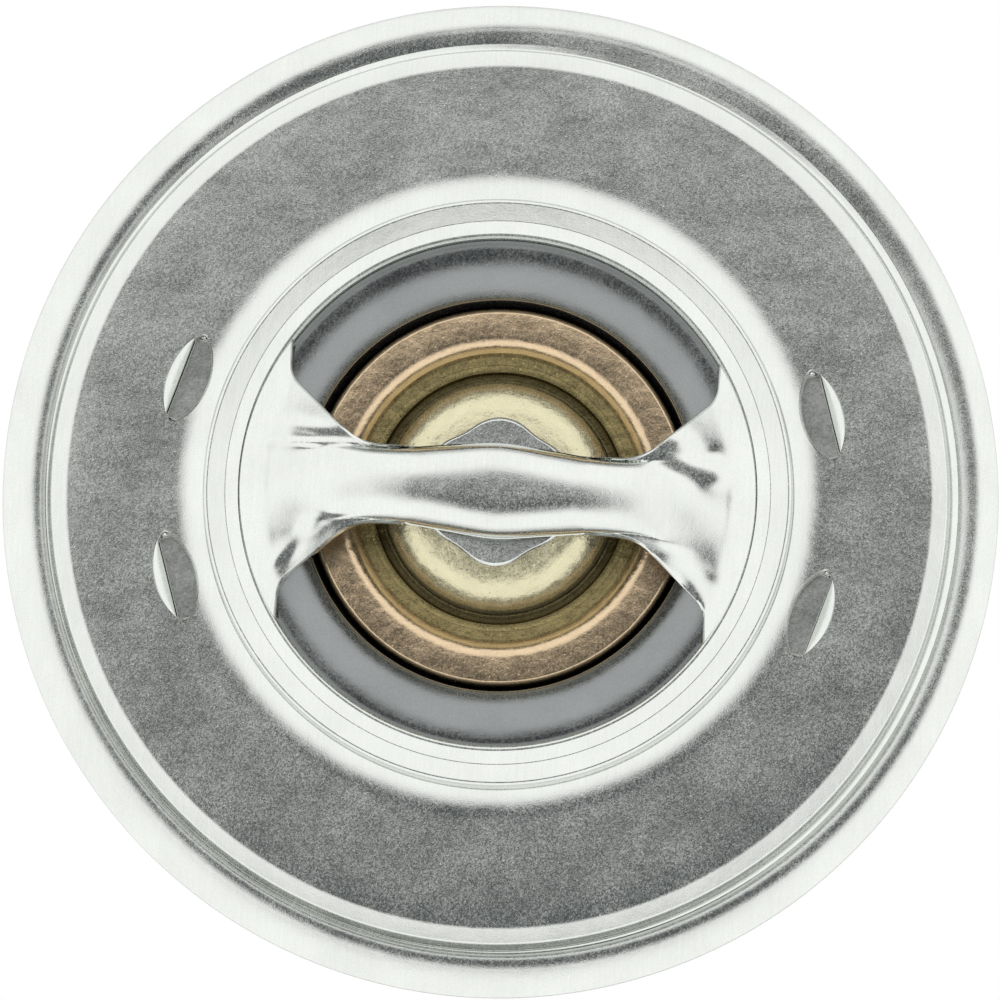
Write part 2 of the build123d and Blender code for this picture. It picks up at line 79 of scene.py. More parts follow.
def metal(name, colour, roughness, grain=0.1, relief=0.05, mottle=0.1, cloud=3.0, dents=0.0,
          nicks=0.0, streaks=0.0, speckle=0.15, bare=1.0, face=None):
    """Worked metal: nicks and a grain that is duller and glossier, a cloudy tone, a turned face
    darkened with painted shade.
    """
    mat = bpy.data.materials.new(name)
    mat.use_nodes = True
    nodes, links = mat.node_tree.nodes, mat.node_tree.links
    shader = nodes["Principled BSDF"]
    shader.inputs["Metallic"].default_value = bare
    place = nodes.new("ShaderNodeTexCoord").outputs["Object"]

    def noise(size, detail, stretch=None):
        node = nodes.new("ShaderNodeTexNoise")
        node.inputs["Scale"].default_value = 1 / (size * MM)
        node.inputs["Detail"].default_value = detail
        source = place
        if stretch:
            drawn = nodes.new("ShaderNodeVectorMath")
            drawn.operation = "MULTIPLY"
            drawn.inputs[1].default_value = stretch
            links.new(place, drawn.inputs[0])
            source = drawn.outputs["Vector"]
        links.new(source, node.inputs["Vector"])
        return node.outputs["Fac"]

    def shifted(value, low, high, from_low=0.3, from_high=0.7):
        node = nodes.new("ShaderNodeMapRange")
        node.inputs["From Min"].default_value = from_low
        node.inputs["From Max"].default_value = from_high
        node.inputs["To Min"].default_value = low
        node.inputs["To Max"].default_value = high
        links.new(value, node.inputs["Value"])
        return node.outputs["Result"]

    def joined(one, two, operation="MULTIPLY"):
        node = nodes.new("ShaderNodeMath")
        node.operation = operation
        links.new(one, node.inputs[0])
        links.new(two, node.inputs[1])
        return node.outputs["Value"]

    fine, clouds = noise(grain, 4), noise(cloud, 4)
    cells = nodes.new("ShaderNodeTexVoronoi")
    cells.inputs["Scale"].default_value = 1 / (grain * MM)
    links.new(place, cells.inputs["Vector"])
    specks = nodes.new("ShaderNodeTexVoronoi")
    specks.inputs["Scale"].default_value = 1 / (5 * grain * MM)
    links.new(place, specks.inputs["Vector"])
    nick = shifted(specks.outputs["Distance"], 1, 0, 0.0, 0.16)
    tone = shifted(clouds, 1 - mottle / 2, 1 + mottle / 2)
    tone = joined(tone, shifted(cells.outputs["Color"], 1 - mottle / 3, 1 + mottle / 3))
    tone = joined(tone, shifted(nick, 1, 1 + nicks, 0.0, 1.0))
    if streaks:
        tone = joined(tone, shifted(noise(1.0, 3, (7, 0.5, 1)), 1 - streaks, 1 + streaks))
    plain = None
    if face:  # a face outside the boss in a darker tone of painted shade, with turning lines and a dark ring of painted shade in the groove
        boss_edge, groove_edge = (6.15 * MM, 6.35 * MM), (6.75 * MM, 7.0 * MM)
        away = nodes.new("ShaderNodeVectorMath")
        away.operation = "MULTIPLY"
        away.inputs[1].default_value = (1, 1, 0)
        links.new(place, away.inputs[0])
        radius = nodes.new("ShaderNodeVectorMath")
        radius.operation = "LENGTH"
        links.new(away.outputs["Vector"], radius.inputs[0])
        lines = nodes.new("ShaderNodeTexNoise")
        lines.noise_dimensions = "1D"
        lines.inputs["Scale"].default_value = 1 / (0.16 * MM)
        lines.inputs["Detail"].default_value = 2
        links.new(radius.outputs["Value"], lines.inputs["W"])
        on_face = shifted(radius.outputs["Value"], 0, 1, 6.2 * MM, boss_edge[1])
        swing = nodes.new("ShaderNodeMix")
        swing.inputs["A"].default_value = 1.0
        links.new(on_face, swing.inputs["Factor"])
        links.new(shifted(lines.outputs["Fac"], 0.75, 1.35), swing.inputs["B"])
        tone = joined(tone, swing.outputs["Result"])
        # Painted shade in the groove: the colour falls to 0.4 between the boss edge and the groove
        # edge.
        groove = joined(
            shifted(radius.outputs["Value"], 1, 0.4, *boss_edge),
            shifted(radius.outputs["Value"], 1, 2.5, *groove_edge),
        )
        tone = joined(tone, groove)
        # Over the face the colour goes to the darker face colour, which is painted shade of the
        # recessed face.
        plain = nodes.new("ShaderNodeMix")
        plain.data_type = "RGBA"
        plain.inputs["A"].default_value, plain.inputs["B"].default_value = (*colour, 1), (*face, 1)
        links.new(on_face, plain.inputs["Factor"])
    base = nodes.new("ShaderNodeVectorMath")
    base.operation = "SCALE"
    base.inputs[0].default_value = colour
    if plain:
        links.new(plain.outputs["Result"], base.inputs[0])
    links.new(tone, base.inputs["Scale"])
    links.new(base.outputs["Vector"], shader.inputs["Base Color"])
    gloss = shifted(clouds, roughness * 0.88, roughness * 1.12)
    gloss = joined(gloss, shifted(cells.outputs["Color"], 1 - speckle, 1 + speckle, 0.0, 1.0))
    links.new(gloss, shader.inputs["Roughness"])
    grain_and_nicks = joined(fine, shifted(nick, 0, 12 * nicks, 0.0, 1.0), "ADD")
    normal = None
    for height, depth in ((clouds, dents), (grain_and_nicks, grain * relief)):
        bump = nodes.new("ShaderNodeBump")
        bump.inputs["Strength"].default_value = 1.0
        bump.inputs["Distance"].default_value = depth * MM
        links.new(height, bump.inputs["Height"])
        if normal:
            links.new(normal, bump.inputs["Normal"])
        normal = bump.outputs["Normal"]
    links.new(normal, shader.inputs["Normal"])
    return mat


flange_steel = metal("flange_steel", (0.67, 0.69, 0.66), 0.205, grain=0.07, relief=0.055,
                     mottle=0.07, dents=0.035, nicks=0.08, streaks=0.02, speckle=0.45)


def bent(corners, arc_steps=8):
    """Points along a profile in mm; each corner is (radius, height, bend radius)."""
    points = []
    for i, (r, z, bend) in enumerate(corners):
        here = Vector((r, z))
        if bend == 0 or i in (0, len(corners) - 1):
            points.append(here)
            continue
        before = (Vector(corners[i - 1][:2]) - here).normalized()
        after = (Vector(corners[i + 1][:2]) - here).normalized()
        half = before.angle(after) / 2
        start, end = here + before * (bend / tan(half)), here + after * (bend / tan(half))
        centre = here + (before + after).normalized() * (bend / sin(half))
        for k in range(arc_steps + 1):
            spoke = start.lerp(end, k / arc_steps) - centre
            points.append(centre + spoke.normalized() * bend)
    return points


upper_skin = bent([
    (25.6, 1.0, 0), (*valley, 0.05), (24.44, 0.99, 0.35), (24.25, 2.88, 0.12), (23.4, 3.0, 1.2),
    (22.0, 3.0, 0), (19.8, 3.0, 0), (17.8, 3.0, 0), (16.8, 3.0, 4.3), (15.93, 3.33, 0.15),
    (15.9, 5.42, 0.22), (14.7, 5.1, 0.14), (12.7, 5.92, 2.4), (9.0, 6.4, 4.0), (0, 6.4, 0),
], 12)
rim_skin = bent([rim_edge, (25.35, 1.06, 2.0), (*valley, 0)], 16)
lip = [Vector(p) for p in ((14.0, 5.38), (13.94, 5.32), (13.82, 5.42), (seat_radius, lip_height))]
lip_outside = 14.02
ring_top = rim_skin[:-1] + [p for p in upper_skin if lip_outside < p.x < valley[0] + 0.06]
ring_foot = bent([
    (seat_radius, lip_height, 0), (seat_radius, seat_height, 0.05), (14.75, seat_height, 0.5),
    (15.3, seat_height, 0.4), (15.73, 2.2, 0.8), (23.34, 2.2, 0.8), (23.84, 0, 0),
    (rim_radius, 0, 0.05), (rim_radius, 0.5, 0.06), rim_edge,
], 6)


def turned(profile, steps=288):
    """Closed body turned round Z from profile points in mm."""
    bm = bmesh.new()
    columns = []
    for k in range(steps):
        c, s = cos(2 * pi * k / steps), sin(2 * pi * k / steps)
        columns.append([bm.verts.new((p.x * c * MM, p.x * s * MM, p.y * MM)) for p in profile])
    for one, two in zip(columns, columns[1:] + columns[:1]):
        for i in range(len(profile)):
            j = (i + 1) % len(profile)
            bm.faces.new((one[i], two[i], two[j], one[j]))
    bmesh.ops.remove_doubles(bm, verts=bm.verts, dist=1e-6)
    bmesh.ops.recalc_face_normals(bm, faces=bm.faces)
    return bm


def mixed(a, b, share):
    """The value that lies this share of the way from a to b."""
    return a + (b - a) * max(0.0, min(1.0, share))


def eased(share):
    """A share from 0 to 1 that starts and ends gently."""
    share = max(0.0, min(1.0, share))
    return share * share * (3 - 2 * share)


# In this many steps the whole stamping stays under 200,000 triangles.
ring = turned(ring_top + lip + ring_foot[1:-1], steps=240)
crest_inside, crest_outside, valley_outside = 24.5, 26.8, 25.3
shoulder_inside, shoulder_outside = 22.9, 24.3
for v in ring.verts:
    r, around = hypot(v.co.x, v.co.y) / MM, atan2(v.co.y, v.co.x)
    if v.co.z > 0.5 * MM and crest_inside < r < crest_outside:  # the crest is a little off the middle
        near_crest = sin((r - crest_inside) / (crest_outside - crest_inside) * pi) ** 0.8
        stretch = 1 + (0.24 * cos(around) + 0.36 * sin(around)) * near_crest / r
        v.co.x, v.co.y = v.co.x * stretch, v.co.y * stretch
        if r < valley_outside:  # and there its valley is nearly filled
            filled = exp(-(((around - 1.3) / 0.65) ** 2))
            v.co.z = mixed(v.co.z, max(v.co.z, 0.975 * MM), filled)
    if v.co.z > 2.5 * MM and shoulder_inside < r < shoulder_outside:  # it falls more on one side
        v.co.z -= 0.055 * MM * (1 - sin(around)) * eased((r - shoulder_inside) / 1.35)


def web(r):
    """Height of the upper skin at radius r, inside the seat ring and just over it."""
    for outer, inner in zip(upper_skin, upper_skin[1:]):
        if inner.x <= r <= outer.x and outer.x > inner.x:
            return inner.y + (outer.y - inner.y) * (r - inner.x) / (outer.x - inner.x)
    return upper_skin[-1].y


# The pockets are lens-shaped scoops, open towards the axis for the feet of the cage.
hook_circle, hook_spread = 18.0, radians(17.4)
hook_turns = [end + side * hook_spread for end in (0, pi) for side in (-1, 1)]
pocket_length, pocket_width = 5.0, 2.2


def lens(length, width, steps=20):
    """Outline with the long axis along Y: two bows that meet in narrow ends."""
    rows = [-cos(pi * k / steps) for k in range(steps + 1)]
    side = [(width / 2 * (1 - y * y) ** 0.7, y * length / 2) for y in rows]
    return side[:-1] + [(-x, -y) for x, y in side[:-1]]


def pocket_cutter(outline, low=1.8, high=4.0, broken=0.1, lean_in=-1.3):
    """Block over the outline of a pocket in mm, flared where it leaves the skin of the pan.

    Towards the axis it leans in under the pan, by lean_in times the break of its edge.
    """
    bm = bmesh.new()
    levels = [[], [], [], []]
    for x, y in outline:
        out = Vector((x, y)).normalized() * broken
        lean = lean_in if x < 0 else 0
        skin = web(hypot(hook_circle + x, y))
        for level, share, z in zip(levels, (lean, 0, 1, 1), (low, skin - broken, skin, high)):
            level.append(bm.verts.new(Vector((x + out.x * share, y + out.y * share, z)) * MM))
    bm.faces.new(levels[0][::-1])
    bm.faces.new(levels[-1])
    for under, over in zip(levels, levels[1:]):
        for i in range(len(outline)):
            j = (i + 1) % len(outline)
            bm.faces.new((under[i], under[j], over[j], over[i]))
    return bm


def at_hook(bm, angle):
    """Moves mesh work from beside the origin to its pocket."""
    place = Matrix.Rotation(angle, 4, "Z") @ Matrix.Translation((hook_circle * MM, 0, 0))
    bmesh.ops.transform(bm, matrix=place, verts=bm.verts)
    return bm


def applied(obj):
    """Mesh work with the object's modifiers in it."""
    seen = obj.evaluated_get(bpy.context.evaluated_depsgraph_get())
    bm = bmesh.new()
    bm.from_mesh(seen.to_mesh())
    seen.to_mesh_clear()
    return bm


def cut_out(bm, *tools):
    """The body with other closed bodies taken away from it."""
    objs = []
    for part in (bm, *tools):
        mesh = bpy.data.meshes.new("cut")
        part.to_mesh(mesh)
        part.free()
        objs.append(bpy.data.objects.new("cut", mesh))
        bpy.context.collection.objects.link(objs[-1])
    for tool in objs[1:]:
        cutting = objs[0].modifiers.new("cut", "BOOLEAN")
        cutting.operation, cutting.solver, cutting.object = "DIFFERENCE", "EXACT", tool
    result = applied(objs[0])
    for obj in objs:
        bpy.data.objects.remove(obj)
    return result


pocket = lens(pocket_length, pocket_width)
ring = cut_out(ring, *[at_hook(pocket_cutter(pocket), angle) for angle in hook_turns])


def grid(rows, wrap=False):
    """Open sheet through rows of points in mm."""
    bm = bmesh.new()
    made = [[bm.verts.new(Vector(p) * MM) for p in row] for row in rows]
    for one, two in zip(made, made[1:]):
        for i in range(len(one) if wrap else len(one) - 1):
            j = (i + 1) % len(one)
            bm.faces.new((one[i], one[j], two[j], two[i]))
    return bm


def thickened(bm, thickness, edge=0.07, offset=-1):
    """The sheet as a solid of this thickness in mm, with its cut edges just broken."""
    obj = bpy.data.objects.new("sheet", bpy.data.meshes.new("sheet"))
    bpy.context.collection.objects.link(obj)
    bm.to_mesh(obj.data)
    bm.free()
    solid = obj.modifiers.new("solid", "SOLIDIFY")
    solid.thickness, solid.offset, solid.use_even_offset = thickness * MM, offset, True
    broken = obj.modifiers.new("edge", "BEVEL")
    broken.width, broken.segments = edge * MM, 2
    broken.limit_method, broken.angle_limit = "ANGLE", radians(50)
    result = applied(obj)
    bpy.data.objects.remove(obj)
    return result


def scoop(stations=40):
    """Skin of a pocket: it rolls over from the outer lip, drops before the foot and runs under it."""
    rows = []
    reach, outer_lip, foot_line, lip_top, floor = 2.4, 1.1, 0.49, 2.95, 1.36
    for k in range(stations + 1):
        y = -reach + 2 * reach * k / stations
        lip = outer_lip * (1 - (y * 2 / pocket_length) ** 2) ** 0.7 + 0.05
        end = min(foot_line, lip - 0.02)
        row = [(lip + 0.25, y, lip_top - 0.02), (lip, y, lip_top)]
        for t in (0.12, 0.25, 0.4, 0.6, 0.8, 1.0):
            fall = 0.42 * (lip - end) * (0.45 * t + 0.55 * t * t)
            row.append((mixed(lip, end, t), y, lip_top - fall))
        row.append((end - 0.01, y, row[-1][2] - 0.06))
        row += [(end - 0.02, y, floor + 0.14), (end - 0.1, y, floor), (-1.6, y, floor)]
        rows.append(row)
    return rows


scoops = [at_hook(thickened(grid(scoop()), 0.5, edge=0.02, offset=1), angle) for angle in hook_turns]

# The strap of the bridge: its edge runs straight, flares and ends on the seat ring. The ridge
# rolled up along it is flat over the pin, narrows to both sides and sinks into the roots.
strap_end, root_half_width = 13.9, 7.62
strap_edge = bent([
    (0, 2.1, 0), (4.5, 2.1, 0.5), (5.0, 2.14, 0.5), (7.6, 2.14, 3.0), (11.5, 5.7, 1.5),
    (11.5, root_half_width, 0),
], 14)
ridge_table = [  # distance from the middle, half-width, crown, squareness
    (0.0, 2.56, 7.60, 3.6), (2.7, 2.28, 7.57, 3.0), (5.4, 1.97, 7.42, 2.3), (8.0, 2.0, 7.02, 2.0),
    (10.4, 2.4, 6.45, 2.0), (12.6, 2.7, 5.90, 2.0), (14.2, 2.8, 5.40, 2.0),
]


def on_ridge(x, column):
    """A column of the ridge's table at x, smooth between its rows."""
    spots = [(-row[0], row[column]) for row in ridge_table[:0:-1]]
    spots += [(row[0], row[column]) for row in ridge_table]
    for (x0, v0), (x1, v1), (x2, v2), (x3, v3) in zip(spots, spots[1:], spots[2:], spots[3:]):
        if x1 <= x <= x2:
            t = (x - x1) / (x2 - x1)
            m1, m2 = (v2 - v0) / (x2 - x0) * (x2 - x1), (v3 - v1) / (x3 - x1) * (x2 - x1)
            smooth = v1 * (2 * t**3 - 3 * t**2 + 1) + m1 * (t**3 - 2 * t**2 + t)
            return smooth + v2 * (3 * t**2 - 2 * t**3) + m2 * (t**3 - t**2)
    return spots[-1][1]


def along(points, count):
    """Points spaced evenly along a line."""
    lengths = [(b - a).length for a, b in zip(points, points[1:])]
    step, spaced, i, past = sum(lengths) / count, [], 0, 0.0
    for k in range(count + 1):
        while i < len(lengths) - 1 and past + lengths[i] < k * step - 1e-9:
            past += lengths[i]
            i += 1
        spaced.append(points[i].lerp(points[i + 1], min(1, (k * step - past) / lengths[i])))
    return spaced


side_points = 44


def ridge_side(width, lift, square, base, edge, count=side_points):
    """Half a cross-section, from the middle to the edge: an arch with upright sides."""
    arch, arch_steps = [], 32
    for k in range(arch_steps + 1):
        a = pi / 2 * k / arch_steps
        arch.append(Vector((width * sin(a) ** (2 / square), base + (lift - base) * cos(a))))
    return along(arch + [edge], count)


def behind_end(half_width):
    """How far the round end of the strap falls back at this half-width."""
    return strap_end - sqrt(strap_end**2 - half_width**2)


def strap_row(middle, edge):
    """Closed cross-section of the strap, through its middle line and one edge point."""
    width, crown, square = (on_ridge(middle, column) for column in (1, 2, 3))
    lift = crown - web(middle)
    ledge = eased((edge.y - width) / 0.13)  # the foot of the ridge turns outwards from here
    root = eased((middle - 7.2) / 3.6)
    out = max(edge.y, width + 0.01)
    skirt_foot, ledge_top = -0.42, -0.02
    ends = Vector((out, skirt_foot)).lerp(Vector((out, ledge_top)), ledge)
    base = -0.2 * (1 - ledge)
    inner_ends = Vector((width - sheet, skirt_foot)).lerp(Vector((out, ledge_top - sheet)), ledge)
    upper = ridge_side(width, lift, square, base, ends)
    lower = ridge_side(width - sheet, lift - sheet, square, base - sheet * ledge, inner_ends)
    gentle = []
    for k in range(len(upper)):
        y = out * k / (len(upper) - 1)
        gentle.append(Vector((y, max(0.0, lift) * (1 - eased(y / (1.3 * width))) + ledge_top)))
    upper = [a.lerp(b, root) for a, b in zip(upper, gentle)]
    lower = [a.lerp(b - Vector((0, sheet)), root) for a, b in zip(lower, gentle)]
    broken, groove, burr = 0.08, 0.035, 0.03  # the sheared edge, and the groove and burr beside it
    down = (lower[-1] - upper[-1]).normalized() * broken
    last, inwards = upper[-1], (upper[-2] - upper[-1]).normalized()
    proud = Vector((inwards.y, -inwards.x))
    upper[-3:] = [
        last + inwards * 0.2,
        last + inwards * 0.14 - proud * groove,
        last + inwards * broken + proud * burr,
    ]
    side = upper + [last + down, lower[-1] - down] + lower[::-1]
    points = []
    for y, lift_here in side:
        bow = behind_end(root_half_width * min(1.0, y / out)) / behind_end(root_half_width)
        x = middle + (edge.x - middle) * bow
        points.append(Vector((x, y, web(hypot(x, y)) + lift_here)))
    points += [Vector((p.x, -p.y, p.z)) for p in points[::-1]]
    return points


stations = 120
edge_points = along(strap_edge, stations)
rows = [strap_row(strap_end * k / stations, spot) for k, spot in enumerate(edge_points)]
rows = [[Vector((-p.x, p.y, p.z)) for p in row] for row in rows[:0:-1]] + rows
for row in rows:  # the press leaves the roots a little uneven
    for p in row:
        at_root = eased((abs(p.x) - 6.0) / 3.0) * eased((13.4 - hypot(p.x, p.y)) / 1.2)
        uneven = sin(1.9 * p.x + 1.2 * p.y + 0.6) + sin(0.9 * p.x - 2.3 * p.y + 1.9)
        p.z += 0.012 * at_root * uneven
for row in rows:  # the ridge is softer along its upper side
    for p in row:
        width, soft_side = on_ridge(abs(p.x), 1), 0.42
        over = mixed(0.0, 1.0, (p.y - width) / soft_side + 1) if p.y < width + 0.05 else 0.0
        p.z -= 0.26 * over**2 * (1 - eased((abs(p.x) - 6.5) / 2.0))
root_facets = [  # left by the tools: x, y, length, width, lean in plan and fall along x
    (-10.6, 2.3, 1.0, 0.8, -0.3, 0), (-9.0, 2.6, 2.0, 0.4, -0.1, 0),
    (-8.9, -1.95, 1.3, 0.33, 0.2, 0), (-10.2, -2.6, 0.8, 0.6, 0.3, 0.35),
    (-11.2, -4.2, 0.8, 0.6, 0.8, 0), (-9.2, 2.0, 1.9, 0.2, 0.02, 0),
    (9.9, 1.8, 2.2, 0.7, -0.2, 0), (11.2, 1.5, 0.9, 0.8, 0, 0),
    (10.4, 2.95, 1.2, 0.6, -0.2, -0.35), (8.9, -2.75, 1.2, 0.38, -0.2, 0),
    (10.4, -3.6, 1.5, 0.75, -0.3, -0.35), (10.7, -5.0, 1.0, 0.6, -0.6, 0),
]
on_top = side_points + 2  # points of a row on its upper skin, from the middle outwards
for x, y, length, width, lean, fall in root_facets:
    upper_points = [p for row in rows for p in row[:on_top]]
    level = min(upper_points, key=lambda p: hypot(p.x - x, p.y - abs(y))).z
    for row in rows:
        for k, p in enumerate(row):
            ahead, aside = p.x - x, p.y - y - lean * (p.x - x)
            under = 0 if min(k, len(row) - 1 - k) < on_top else sheet
            skin = level + fall * ahead + 0.07 * aside - under
            off = (ahead / length) ** 2 + (aside / width) ** 2
            p.z += 0.85 / (1 + off * off) * (skin - p.z)
strap = grid(rows, wrap=True)
bmesh.ops.remove_doubles(strap, verts=strap.verts, dist=2e-6)
bmesh.ops.recalc_face_normals(strap, faces=strap.faces)

# Flared skirt of the socket that holds the pin, drawn out to both sides of the ridge.
skirt_line = bent([
    (1.75, 6.9, 0), (1.75, 5.6, 0.3), (2.3, 5.2, 0.5), (3.95, 5.12, 0.06), (4.08, 5.4, 0.1),
    (3.9, 5.56, 0.12), (2.4, 5.52, 0.12), (2.35, 6.9, 0),
], 8)
skirt = turned(skirt_line, steps=96)
flat_turn, flat_spread, neck_radius, flared = 0.56, 0.3, 2.6, 1.4
for v in skirt.verts:  # its flare is flattened a little on four sides
    side = abs(abs(atan2(v.co.y, v.co.x)) - pi / 2)
    on_flare = max(0, hypot(v.co.x, v.co.y) / MM - neck_radius) / flared
    flat = 1 - 0.09 * exp(-(((side - flat_turn) / flat_spread) ** 2)) * on_flare
    v.co.x, v.co.y = v.co.x * flat, v.co.y * flat


def together(*parts):
    """Several bodies as one mesh."""
    whole = bmesh.new()
    for part in parts:
        mesh = bpy.data.meshes.new("part")
        part.to_mesh(mesh)
        part.free()
        whole.from_mesh(mesh)
        bpy.data.meshes.remove(mesh)
    return whole


def piece(name, bm, material, body, stands_for, sharp=25):
    """Finished piece: shaded smooth up to its sharp edges, and riding on its body."""
    mesh = bpy.data.meshes.new(name)
    bm.to_mesh(mesh)
    bm.free()
    mesh.shade_smooth()
    mesh.set_sharp_from_angle(angle=radians(sharp))
    mesh.materials.append(material)
    obj = bpy.data.objects.new(name, mesh)
    bpy.context.collection.objects.link(obj)
    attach(obj, body)
    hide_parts(stands_for)
    return obj


stamping = together(ring, *scoops, strap, skirt)
piece("flange_stamping", stamping, flange_steel, "frame", "flange")

# ---- Valve disc ----
# Pressed steel disc with a rounded sealing bead, which closes against the lip of the seat. Its
# hub is pressed over the cup of the element, so that both travel together.

valve_steel = metal("valve_steel", (0.25, 0.26, 0.26), 0.22, grain=0.09, relief=0.04, mottle=0.12,
                    dents=0.05, nicks=0.06, speckle=0.4, bare=0.95)
bead_steps = 24
quarter = [pi / 2 * k / bead_steps for k in range(bead_steps + 1)]
bead_circle, outer_centre, inner_centre = 13.3, 2.946, 1.596
disc_sheet, outer_bend, inner_bend = 0.7, 1.5, 2.85


def bead_face(outer, inner):
    """One face of the bead from its outer to its inner side, under one crown of two radii."""
    points = [Vector((bead_circle + outer * cos(a), outer_centre + outer * sin(a))) for a in quarter]
    for a in quarter[1:]:
        points.append(Vector((bead_circle - inner * sin(a), inner_centre + inner * cos(a))))
    return points


bead_crown = outer_centre + outer_bend
bead_top = bead_face(outer_bend, inner_bend)[:bead_steps + 1] + bent([
    (bead_circle, bead_crown, 0), (11.95, bead_crown, 3.7), (10.6, 3.33, 0.5), (10.6, 1.9, 0.2),
    (10.45, inner_centre, 0),
], 12)[1:]
hub = bent([
    (10.45, inner_centre, 0), (10.45, -1.1, 0.35), (7.5, -1.1, 0.1), (7.5, -4.0, 0.1),
    (8.2, -4.0, 0.1), (8.2, -1.8, 0.35), (11.15, -1.8, 0.7), (11.15, inner_centre, 0),
])
bead_under = bead_face(outer_bend - disc_sheet, inner_bend - disc_sheet)[::-1]
outer_edge = bent([
    (14.1, outer_centre, 0), (14.1, 2.346, 0.06), (14.8, 2.346, 0.06), (14.8, outer_centre, 0),
])
valve = turned(bead_top + hub[1:-1] + bead_under + outer_edge[1:-1])
piece("valve_disc_pressing", valve, valve_steel, "element", "valve_disc")

# ---- Element cup ----
# Drawn copper cup with a flat end, which holds the wax. Its rim widens to a ledge that carries
# the guide, and is rolled inwards over it.

copper = metal("cup_copper", (0.66, 0.51, 0.335), 0.2, grain=0.07, relief=0.06, mottle=0.12,
               cloud=1.0, dents=0.04, nicks=0.1, speckle=0.35, bare=0.96)
cup_line = bent([
    (0, -27.0, 0), (7.5, -27.0, 1.6), (7.5, -1.1, 0.3), (10.25, -1.1, 0.7), (10.25, 2.5, 0.3),
    (8.35, 2.5, 1.1), (7.84, 2.05, 0.06), (7.84, 1.6, 0), (9.55, 1.6, 0), (9.55, -0.4, 0.1),
    (6.8, -0.4, 0.35), (6.8, -26.3, 0.9), (0, -26.3, 0),
])
piece("element_cup_drawn", turned(cup_line), copper, "element", "element_cup")

# ---- Guide ----
# Turned brass, with fine turning lines on its face, a groove round the boss and a tumbled boss.
# It closes the cup, and it slides along the piston pin.

# The darker face colour and the dark ring in the groove are painted shade on the same brass.
brass = metal("guide_brass", (0.66, 0.615, 0.42), 0.3, grain=0.08, relief=0.14, mottle=0.12, cloud=0.9,
              dents=0.09, nicks=0.15, speckle=0.4, bare=0.9, face=(0.27, 0.22, 0.10))
guide_line = bent([
    (1.74, 1.35, 0), (3.0, 1.35, 0), (3.0, 0.35, 0), (9.52, 0.35, 0), (9.52, 1.6, 0),
    (6.85, 1.6, 0.05), (6.8, 1.0, 0.15), (6.25, 1.0, 0.15), (6.2, 3.75, 1.9), (3.05, 4.0, 1.5),
    (2.24, 4.0, 0.05), (1.74, 3.5, 0),
])
piece("guide_turned", turned(guide_line), brass, "element", "guide")

# ---- Piston pin ----
# Ground steel pin. Its head is held in the socket of the bridge and its nose sits in the boot, so
# wax that melts pushes the element down along it.

pin_steel = metal("pin_steel", (0.62, 0.62, 0.61), 0.16, grain=0.2, relief=0.01, mottle=0.04)
pin_line = bent([(0, -17.7, 0), (1.7, -17.7, 0.8), (1.7, 6.8, 0.2), (0, 6.8, 0)])
piece("piston_pin_ground", turned(pin_line, steps=96), pin_steel, "frame", "piston_pin")

# ---- Lower cage ----
# Drawn from sheet: a dished floor with a collar round the cup, two legs on the bridge line, and
# two feet at the top of each leg that hook into the pockets.

cage_steel = metal("cage_steel", (0.50, 0.51, 0.49), 0.26, grain=0.12, relief=0.03, mottle=0.05,
                   dents=0.06)
cage_sheet = 0.75
wall_radius, floor_middle, foot_middle = 15.625, -20.475, 1.775
cage_line = bent([
    (7.955, -17.7, 0), (7.955, floor_middle, 0.75), (wall_radius, floor_middle, 1.7),
    (wall_radius, foot_middle, 0.9), (18.45, foot_middle, 0),
], 8)
cage_levels = []
for a, b in zip(cage_line, cage_line[1:]):
    count = max(1, ceil((b - a).length / 1.2))
    cage_levels += [a.lerp(b, k / count) for k in range(count)]
cage_levels.append(cage_line[-1])
on_wall = 15.6
wall_start = next(i for i, p in enumerate(cage_levels) if p.x > on_wall and p.y > -18.45)
foot_start = next(i for i, p in enumerate(cage_levels) if p.x > on_wall and p.y > 0.87)
foot_circle = 17.0
half_leg, half_foot = radians(26), asin(2.3 / foot_circle)
turns = set()
for end in (0, pi):
    edges = [end - half_leg, end + half_leg]
    for angle in (end - hook_spread, end + hook_spread):
        edges += [angle - half_foot, angle + half_foot]
    edges = sorted(edges) + [end + pi - half_leg]
    for a, b in zip(edges, edges[1:]):
        count = max(1, ceil((b - a) / radians(1.5)))
        turns.update(round(a + (b - a) * k / count, 6) for k in range(count))
turns = sorted(turns)


def apart(angle, other):
    """The turn from one angle to another, the short way round."""
    return (angle - other + pi) % (2 * pi) - pi


rows = []
for i, level in enumerate(cage_levels):
    row = []
    for angle in turns:
        spot = Vector((level.x * cos(angle), level.x * sin(angle), level.y))
        if i >= foot_start:
            hook = min(hook_turns, key=lambda turn: abs(apart(angle, turn)))
            off = apart(angle, hook)
            share = min(1, (level.x - on_wall) / 1.2)
            aside = mixed(level.x * sin(off), foot_circle * sin(off), share)
            ahead = mixed(level.x * cos(off), level.x, share)
            spot.xy = Matrix.Rotation(hook, 2) @ Vector((ahead, aside))
        row.append(spot)
    rows.append(row)
cage = grid(rows, wrap=True)
cage.faces.ensure_lookup_table()


def near(angle, others, half):
    """Whether an angle is within half of one of the others."""
    return any(abs(apart(angle, other)) < half for other in others)


